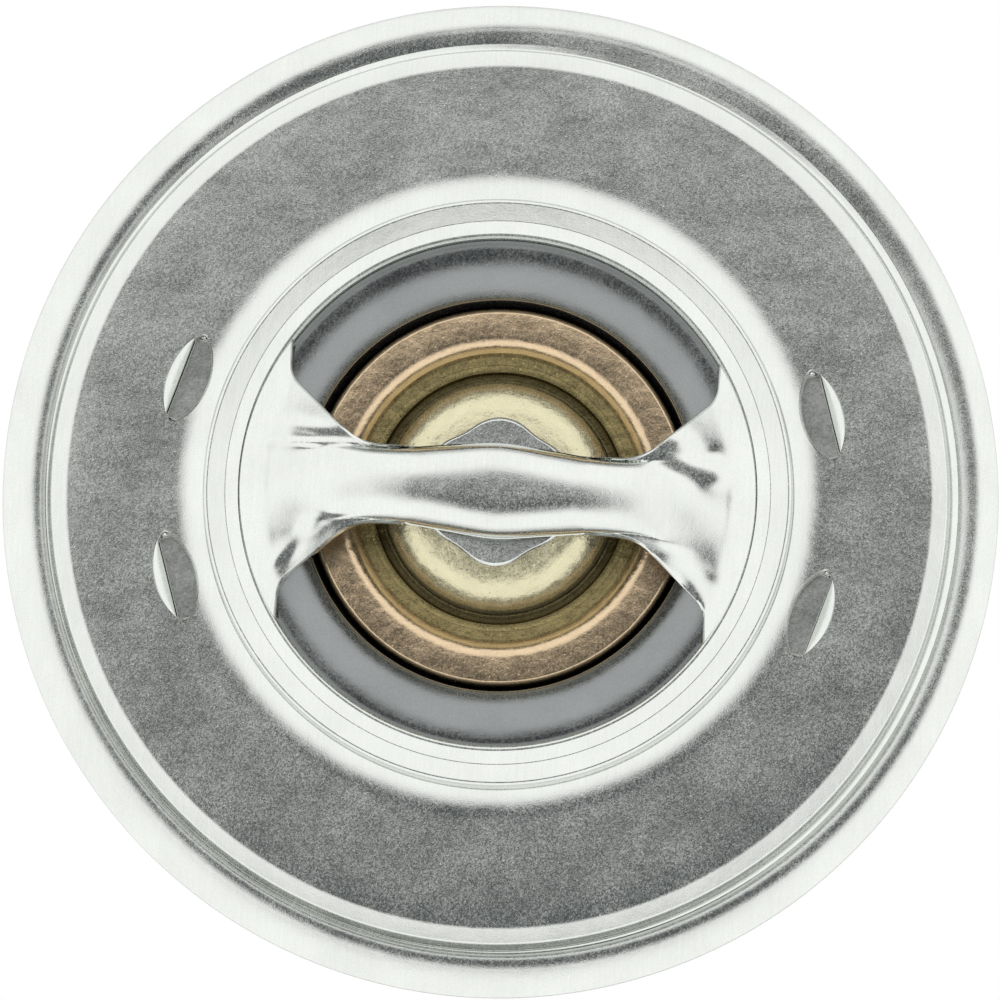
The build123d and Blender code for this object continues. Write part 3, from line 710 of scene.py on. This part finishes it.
waste = []  # what is cut away between the legs and between the feet
for i in range(len(cage_levels) - 1):
    for j in range(len(turns)):
        here, after = turns[j], turns[(j + 1) % len(turns)] + (2 * pi if j == len(turns) - 1 else 0)
        middle = (here + after) / 2
        if i >= wall_start and not near(middle, (0, pi), half_leg):
            waste.append(cage.faces[i * len(turns) + j])
        elif i >= foot_start and not near(middle, hook_turns, half_foot):
            waste.append(cage.faces[i * len(turns) + j])
bmesh.ops.delete(cage, geom=waste, context="FACES")
cage = thickened(cage, cage_sheet, offset=0)
piece("lower_cage_drawn", cage, cage_steel, "frame", "lower_cage", sharp=20)

# ---- Return spring ----
# Steel wire coiled round the cup, with closed ends ground flat. It stands on the floor of the
# cage and holds the valve disc against its seat.

spring_steel = metal("spring_steel", (0.50, 0.50, 0.49), 0.22, grain=0.18, relief=0.03, mottle=0.08)
wire, coil, floor_at, top_at = 0.9, 13.0, -20.10, 3.42  # radii of the wire and of the coil
turns_active, end_pitch = 4.5, 1.88
steps_per_turn, wire_sides = 48, 16
pitch = (top_at - floor_at - wire - 2 * end_pitch) / turns_active
rows = []
for step in range(int((turns_active + 2) * steps_per_turn) + 1):
    turn = step / steps_per_turn
    closed = min(turn, 1) + max(turn - 1 - turns_active, 0)
    middle = floor_at + wire / 2 + closed * end_pitch + min(max(turn - 1, 0), turns_active) * pitch
    a = 2 * pi * turn
    row = []
    for k in range(wire_sides):
        b = 2 * pi * k / wire_sides
        r, z = coil + wire * cos(b), middle + wire * sin(b)
        row.append((r * cos(a), r * sin(a), max(floor_at, min(top_at, z))))
    rows.append(row)
spring = grid(rows, wrap=True)
spring.verts.ensure_lookup_table()
spring.faces.new(spring.verts[:wire_sides][::-1])
spring.faces.new(spring.verts[-wire_sides:])
bmesh.ops.recalc_face_normals(spring, faces=spring.faces)
spring = piece("return_spring_coil", spring, spring_steel, "frame", "return_spring")
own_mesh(spring)

# ---- Boot, back-up ring and wax ----
# All three are sealed in the cup, under the guide: a moulded rubber sleeve that takes the nose of
# the pin, a plain plastic ring between it and the guide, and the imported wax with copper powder.


def moulded(name, colour, roughness, grain=0.3):
    """Rubber, plastic or wax: slightly uneven in colour, with a fine dull skin."""
    mat = bpy.data.materials.new(name)
    mat.use_nodes = True
    nodes, links = mat.node_tree.nodes, mat.node_tree.links
    shader = nodes["Principled BSDF"]
    shader.inputs["Roughness"].default_value = roughness
    place = nodes.new("ShaderNodeTexCoord")
    cloud = nodes.new("ShaderNodeTexNoise")
    cloud.inputs["Scale"].default_value = 1 / (grain * MM)
    cloud.inputs["Detail"].default_value = 4
    links.new(place.outputs["Object"], cloud.inputs["Vector"])
    tone = nodes.new("ShaderNodeMix")
    tone.data_type = "RGBA"
    tone.inputs["A"].default_value = (*[c * 0.8 for c in colour], 1)
    tone.inputs["B"].default_value = (*[min(1, c * 1.2) for c in colour], 1)
    links.new(cloud.outputs["Fac"], tone.inputs["Factor"])
    links.new(tone.outputs["Result"], shader.inputs["Base Color"])
    bump = nodes.new("ShaderNodeBump")
    bump.inputs["Strength"].default_value = 0.4
    bump.inputs["Distance"].default_value = grain * MM * 0.1
    links.new(cloud.outputs["Fac"], bump.inputs["Height"])
    links.new(bump.outputs["Normal"], shader.inputs["Normal"])
    return mat


for node, mat in (
    ("boot", moulded("boot_rubber", (0.025, 0.025, 0.027), 0.7)),
    ("backup_ring", moulded("ring_plastic", (0.75, 0.73, 0.68), 0.4)),
    ("wax", moulded("wax_charge", (0.45, 0.27, 0.16), 0.55, 0.2)),
):
    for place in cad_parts[node].material_slots:
        place.material = mat

# ---- Floor, light and camera ----
# A white floor just under the part, a white tent of light that is dark straight overhead, and a
# camera over the flange that leans a few degrees off its axis.

scene = bpy.context.scene
scene.view_settings.view_transform = "Standard"

floor_mesh = bpy.data.meshes.new("floor")
bm = bmesh.new()
bmesh.ops.create_grid(bm, x_segments=1, y_segments=1, size=3.0)
bm.to_mesh(floor_mesh)
bm.free()
floor = bpy.data.objects.new("floor", floor_mesh)
floor.location.z = cad_low.z - 0.02 * MM
bpy.context.collection.objects.link(floor)
floor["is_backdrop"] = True
white = bpy.data.materials.new("floor_white")
white.use_nodes = True
nodes, links = white.node_tree.nodes, white.node_tree.links
shader = nodes["Principled BSDF"]
shader.inputs["Base Color"].default_value = (0.8, 0.8, 0.8, 1)
shader.inputs["Roughness"].default_value = 0.9
glow = nodes.new("ShaderNodeEmission")
glow.inputs["Color"].default_value = (1, 1, 1, 1)
path = nodes.new("ShaderNodeLightPath")
seen = nodes.new("ShaderNodeMixShader")
links.new(path.outputs["Is Camera Ray"], seen.inputs["Fac"])
links.new(shader.outputs["BSDF"], seen.inputs[1])
links.new(glow.outputs["Emission"], seen.inputs[2])
links.new(seen.outputs["Shader"], nodes["Material Output"].inputs["Surface"])
floor_mesh.materials.append(white)

world = bpy.data.worlds.new("tent")
scene.world = world
world.use_nodes = True
nodes, links = world.node_tree.nodes, world.node_tree.links
sky = nodes["Background"]
place = nodes.new("ShaderNodeTexCoord")
high = nodes.new("ShaderNodeVectorMath")
high.operation = "DOT_PRODUCT"
high.inputs[1].default_value = Vector((0.0, -0.06, 1.0)).normalized()
links.new(place.outputs["Generated"], high.inputs[0])
tent = nodes.new("ShaderNodeValToRGB")
links.new(high.outputs["Value"], tent.inputs["Fac"])
stops = tent.color_ramp.elements
stops[0].position, stops[0].color = 0.0, (0.4, 0.4, 0.4, 1)
stops[1].position, stops[1].color = 1.0, (0.055, 0.066, 0.07, 1)
for position, level in ((0.1, 0.75), (0.3, 1.0), (0.9, 1.0), (0.95, 0.8), (0.975, 0.3), (0.985, 0.1)):
    stops.new(position).color = (level, level, level, 1)
path = nodes.new("ShaderNodeLightPath")
plain = nodes.new("ShaderNodeMix")
plain.data_type = "RGBA"
plain.inputs["B"].default_value = (1, 1, 1, 1)
links.new(path.outputs["Is Camera Ray"], plain.inputs["Factor"])
links.new(tent.outputs["Color"], plain.inputs["A"])
links.new(plain.outputs["Result"], sky.inputs["Color"])
power = nodes.new("ShaderNodeMapRange")
power.inputs["To Min"].default_value, power.inputs["To Max"].default_value = 1.3, 1.0
links.new(path.outputs["Is Camera Ray"], power.inputs["Value"])
links.new(power.outputs["Result"], sky.inputs["Strength"])

roll, lean_right, lean_down = radians(3.4), radians(1.7), radians(5.4)
right = Vector((cos(roll), sin(roll), 0))
up = Vector((-sin(roll), cos(roll), 0))
back = (Vector((0, 0, 1)) + right * tan(lean_right) - up * tan(lean_down)).normalized()
distance, half_view = 0.8, 27.086 * MM
target = Vector((0, 0, 0.7 * MM))
data = bpy.data.cameras.new("camera")
data.sensor_width = 36
data.lens = data.sensor_width / 2 / (half_view / distance)
data.clip_start, data.clip_end = 0.01, 10
camera = bpy.data.objects.new("camera", data)
bpy.context.collection.objects.link(camera)
across = (right - back * right.dot(back)).normalized()
turn = Matrix((across, back.cross(across), back)).transposed()
camera.matrix_world = Matrix.Translation(target + back * distance) @ turn.to_4x4()
scene.camera = camera

low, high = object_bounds()
